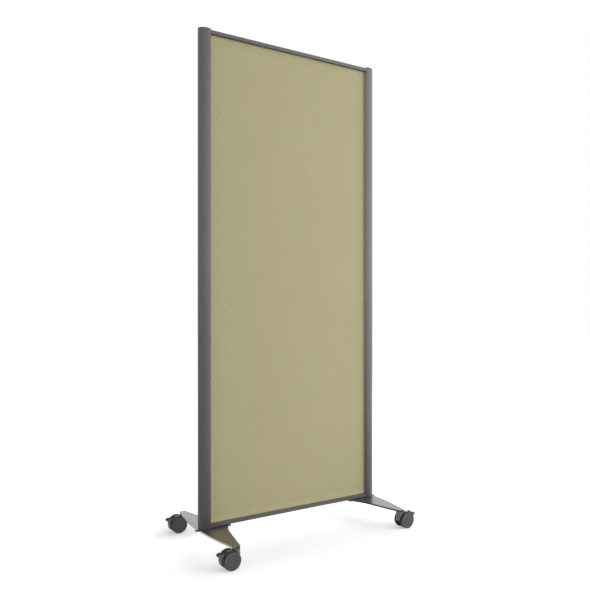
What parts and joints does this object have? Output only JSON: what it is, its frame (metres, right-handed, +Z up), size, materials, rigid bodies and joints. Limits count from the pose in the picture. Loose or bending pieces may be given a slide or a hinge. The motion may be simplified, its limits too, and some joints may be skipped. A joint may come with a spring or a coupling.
{
  "type": "rolling partition",
  "caption": "Free-standing fabric panel in a slim dark metal frame, on flared foot plates with braked twin-wheel swivel casters, used to screen or divide a room.",
  "frame": {"origin": "floor level under the middle of the panel", "axes": "+X along the panel to its right end, +Y to the rear side, +Z up"},
  "size_m": [0.819, 0.457, 1.778],
  "materials": {
    "post": "satin charcoal powder coat",
    "rail": "satin charcoal powder coat",
    "cap": "fine moulded texture",
    "bar": "satin",
    "plate": "metallic satin",
    "board": "raw fibreboard",
    "fabric": "basket weave",
    "block": "die cast",
    "bolt": "black oxide",
    "steel": "zinc plated",
    "hood": "moulded nylon",
    "wheel": "moulded nylon",
    "tyre": "soft tread",
    "pedal": "moulded nylon"
  },
  "bodies": {
    "frame": {"top_rail": "rail", "bottom_rail": "rail", "panel_board": "board", "front_fabric": "fabric", "rear_fabric": "fabric", "corner_blocks": "block", "foot_bolts": "bolt", "stem_rings": "steel", "left_post": "post", "left_end_cap": "cap", "left_foot_bar": "bar", "left_foot_plate": "plate", "right_post": "post", "right_end_cap": "cap", "right_foot_bar": "bar", "right_foot_plate": "plate", "front_left_stem": "steel", "front_right_stem": "steel", "rear_left_stem": "steel", "rear_right_stem": "steel"},
    "front_left_caster": {"front_left_hood": "hood", "front_left_axle": "steel", "front_left_pedal_pin": "steel"},
    "front_left_outer_roller": {"front_left_outer_wheel": "wheel", "front_left_outer_tyre": "tyre"},
    "front_left_inner_roller": {"front_left_inner_wheel": "wheel", "front_left_inner_tyre": "tyre"},
    "front_left_brake": {"front_left_brake_pedal": "pedal"},
    "front_right_caster": {"front_right_hood": "hood", "front_right_axle": "steel", "front_right_pedal_pin": "steel"},
    "front_right_outer_roller": {"front_right_outer_wheel": "wheel", "front_right_outer_tyre": "tyre"},
    "front_right_inner_roller": {"front_right_inner_wheel": "wheel", "front_right_inner_tyre": "tyre"},
    "front_right_brake": {"front_right_brake_pedal": "pedal"},
    "rear_left_caster": {"rear_left_hood": "hood", "rear_left_axle": "steel", "rear_left_pedal_pin": "steel"},
    "rear_left_outer_roller": {"rear_left_outer_wheel": "wheel", "rear_left_outer_tyre": "tyre"},
    "rear_left_inner_roller": {"rear_left_inner_wheel": "wheel", "rear_left_inner_tyre": "tyre"},
    "rear_left_brake": {"rear_left_brake_pedal": "pedal"},
    "rear_right_caster": {"rear_right_hood": "hood", "rear_right_axle": "steel", "rear_right_pedal_pin": "steel"},
    "rear_right_outer_roller": {"rear_right_outer_wheel": "wheel", "rear_right_outer_tyre": "tyre"},
    "rear_right_inner_roller": {"rear_right_inner_wheel": "wheel", "rear_right_inner_tyre": "tyre"},
    "rear_right_brake": {"rear_right_brake_pedal": "pedal"}
  },
  "joints": [
    {"name": "front_left_swivel", "type": "hinge", "parent": "frame", "child": "front_left_caster", "pos_m": [-0.345, -0.207, 0.05], "axis": [0, 0, 1], "continuous": true},
    {"name": "front_left_outer_spin", "type": "hinge", "parent": "front_left_caster", "child": "front_left_outer_roller", "pos_m": [-0.3675, -0.207, 0.03], "axis": [0, 1, 0], "continuous": true},
    {"name": "front_left_inner_spin", "type": "hinge", "parent": "front_left_caster", "child": "front_left_inner_roller", "pos_m": [-0.3675, -0.207, 0.03], "axis": [0, 1, 0], "continuous": true},
    {"name": "front_left_brake_tilt", "type": "hinge", "parent": "front_left_caster", "child": "front_left_brake", "pos_m": [-0.3805, -0.207, 0.046], "axis": [0, -1, 0], "range_deg": [0, 15]},
    {"name": "front_right_swivel", "type": "hinge", "parent": "frame", "child": "front_right_caster", "pos_m": [0.345, -0.207, 0.05], "axis": [0, 0, 1], "continuous": true},
    {"name": "front_right_outer_spin", "type": "hinge", "parent": "front_right_caster", "child": "front_right_outer_roller", "pos_m": [0.3675, -0.207, 0.03], "axis": [0, 1, 0], "continuous": true},
    {"name": "front_right_inner_spin", "type": "hinge", "parent": "front_right_caster", "child": "front_right_inner_roller", "pos_m": [0.3675, -0.207, 0.03], "axis": [0, 1, 0], "continuous": true},
    {"name": "front_right_brake_tilt", "type": "hinge", "parent": "front_right_caster", "child": "front_right_brake", "pos_m": [0.3805, -0.207, 0.046], "axis": [0, 1, 0], "range_deg": [0, 15]},
    {"name": "rear_left_swivel", "type": "hinge", "parent": "frame", "child": "rear_left_caster", "pos_m": [-0.345, 0.207, 0.05], "axis": [0, 0, 1], "continuous": true},
    {"name": "rear_left_outer_spin", "type": "hinge", "parent": "rear_left_caster", "child": "rear_left_outer_roller", "pos_m": [-0.3675, 0.207, 0.03], "axis": [0, 1, 0], "continuous": true},
    {"name": "rear_left_inner_spin", "type": "hinge", "parent": "rear_left_caster", "child": "rear_left_inner_roller", "pos_m": [-0.3675, 0.207, 0.03], "axis": [0, 1, 0], "continuous": true},
    {"name": "rear_left_brake_tilt", "type": "hinge", "parent": "rear_left_caster", "child": "rear_left_brake", "pos_m": [-0.3805, 0.207, 0.046], "axis": [0, -1, 0], "range_deg": [0, 15]},
    {"name": "rear_right_swivel", "type": "hinge", "parent": "frame", "child": "rear_right_caster", "pos_m": [0.345, 0.207, 0.05], "axis": [0, 0, 1], "continuous": true},
    {"name": "rear_right_outer_spin", "type": "hinge", "parent": "rear_right_caster", "child": "rear_right_outer_roller", "pos_m": [0.3675, 0.207, 0.03], "axis": [0, 1, 0], "continuous": true},
    {"name": "rear_right_inner_spin", "type": "hinge", "parent": "rear_right_caster", "child": "rear_right_inner_roller", "pos_m": [0.3675, 0.207, 0.03], "axis": [0, 1, 0], "continuous": true},
    {"name": "rear_right_brake_tilt", "type": "hinge", "parent": "rear_right_caster", "child": "rear_right_brake", "pos_m": [0.3805, 0.207, 0.046], "axis": [0, 1, 0], "range_deg": [0, 15]}
  ]
}
